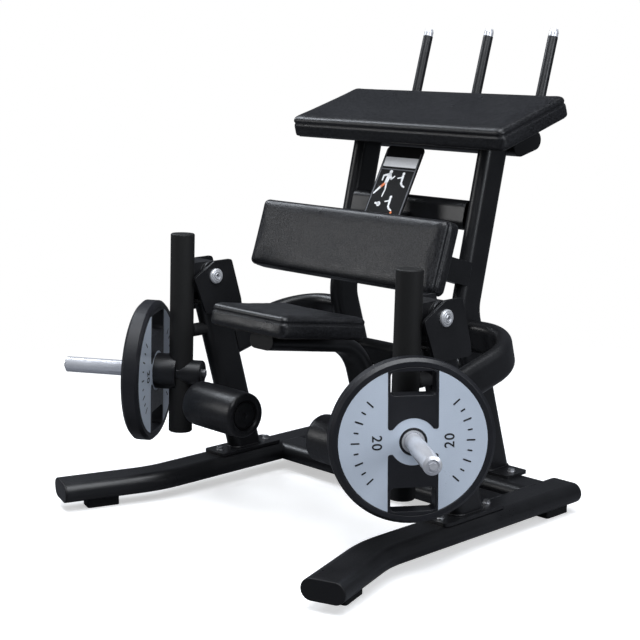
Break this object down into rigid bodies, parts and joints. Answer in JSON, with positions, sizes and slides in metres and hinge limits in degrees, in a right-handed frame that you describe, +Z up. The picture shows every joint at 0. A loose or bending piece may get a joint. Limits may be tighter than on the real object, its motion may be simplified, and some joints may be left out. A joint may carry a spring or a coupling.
{
  "type": "kneeling leg curl machine",
  "caption": "Plate-loaded kneeling leg curl machine: two swinging levers with calf rollers, weight horns and plates, knee, thigh and arm pads on a tubular frame.",
  "frame": {"origin": "bottom centre of the machine's box, on the floor midway between the two levers", "axes": "+X to the machine's right, +Y the way the kneeling user faces, +Z up; the frame is mirror symmetric about X = 0"},
  "size_m": [1.6192, 1.3451, 1.4692],
  "materials": {
    "frame_paint": "fine textured black powder coat",
    "black_plastic": "moulded black plastic",
    "rubber_black": "matt black rubber",
    "zinc_screws": "zinc plated screws",
    "bright_steel": "turned bright steel",
    "chrome": "polished hard chrome",
    "leather_black": "black fine-grain upholstery",
    "plywood": "black backed plywood",
    "foam_black": "black skinned foam",
    "plate_iron": "silver lacquered faces in a black urethane rim",
    "chart_sheet": "printed steel sheet"
  },
  "bodies": {
    "frame": {"chart_bracket": "frame_paint", "chart_plate": "chart_sheet", "flange_bolts": "zinc_screws", "front_crossbar": "frame_paint", "front_post_left": "frame_paint", "front_post_right": "frame_paint", "knee_pad": "leather_black", "knee_pad_tube": "frame_paint", "pad_boards": "plywood", "peg_rack_beam": "frame_paint", "pivot_clevis_left": "frame_paint", "pivot_clevis_right": "frame_paint", "pivot_end_discs": "bright_steel", "pivot_shafts": "bright_steel", "post_flanges": "frame_paint", "rear_brace": "frame_paint", "rear_cross_beam": "frame_paint", "rear_crossbar": "frame_paint", "rear_post_left": "frame_paint", "rear_post_right": "frame_paint", "rubber_feet": "rubber_black", "runner_left": "frame_paint", "runner_right": "frame_paint", "side_hoop_left": "frame_paint", "side_hoop_right": "frame_paint", "stop_bumpers": "rubber_black", "storage_peg_caps": "chrome", "storage_pegs": "frame_paint", "thigh_pad": "leather_black", "thigh_pad_brackets": "frame_paint", "thrust_washers": "zinc_screws", "top_pad": "leather_black", "top_pad_flanges": "frame_paint", "tube_end_caps": "black_plastic"},
    "lever_left_arm": {"horn_end_cap_left": "chrome", "horn_hub_left": "frame_paint", "lever_screws_left": "zinc_screws", "lever_tube_caps_left": "frame_paint", "lever_tube_left": "frame_paint", "pivot_bearings_left": "bright_steel", "pivot_hub_left": "frame_paint", "roller_axle_left": "bright_steel", "weight_horn_left": "chrome"},
    "lever_right_arm": {"horn_end_cap_right": "chrome", "horn_hub_right": "frame_paint", "lever_screws_right": "zinc_screws", "lever_tube_caps_right": "frame_paint", "lever_tube_right": "frame_paint", "pivot_bearings_right": "bright_steel", "pivot_hub_right": "frame_paint", "roller_axle_right": "bright_steel", "weight_horn_right": "chrome"},
    "roller_left": {"roller_foam_left": "foam_black", "roller_spool_left": "black_plastic"},
    "roller_right": {"roller_foam_right": "foam_black", "roller_spool_right": "black_plastic"},
    "plate_left": {"plate_sleeve_left": "bright_steel", "weight_plate_left": "plate_iron"},
    "plate_right": {"plate_sleeve_right": "bright_steel", "weight_plate_right": "plate_iron"}
  },
  "joints": [
    {"name": "lever_left_swing", "type": "hinge", "parent": "frame", "child": "lever_left_arm", "pos_m": [-0.488, -0.14368, 0.696], "axis": [1, 0, 0], "range_deg": [-110, 0]},
    {"name": "roller_left_spin", "type": "hinge", "parent": "lever_left_arm", "child": "roller_left", "pos_m": [-0.311, -0.25168, 0.307], "axis": [1, 0, 0], "continuous": true},
    {"name": "plate_left_slide", "type": "slide", "parent": "lever_left_arm", "child": "plate_left", "axis": [-0.8076, -0.5889, 0.0297], "range_m": [0, 0.24]},
    {"name": "lever_right_swing", "type": "hinge", "parent": "frame", "child": "lever_right_arm", "pos_m": [0.488, -0.14368, 0.696], "axis": [1, 0, 0], "range_deg": [-110, 0]},
    {"name": "roller_right_spin", "type": "hinge", "parent": "lever_right_arm", "child": "roller_right", "pos_m": [0.311, -0.25168, 0.307], "axis": [1, 0, 0], "continuous": true},
    {"name": "plate_right_slide", "type": "slide", "parent": "lever_right_arm", "child": "plate_right", "axis": [0.8076, -0.5889, 0.0297], "range_m": [0, 0.24]}
  ]
}
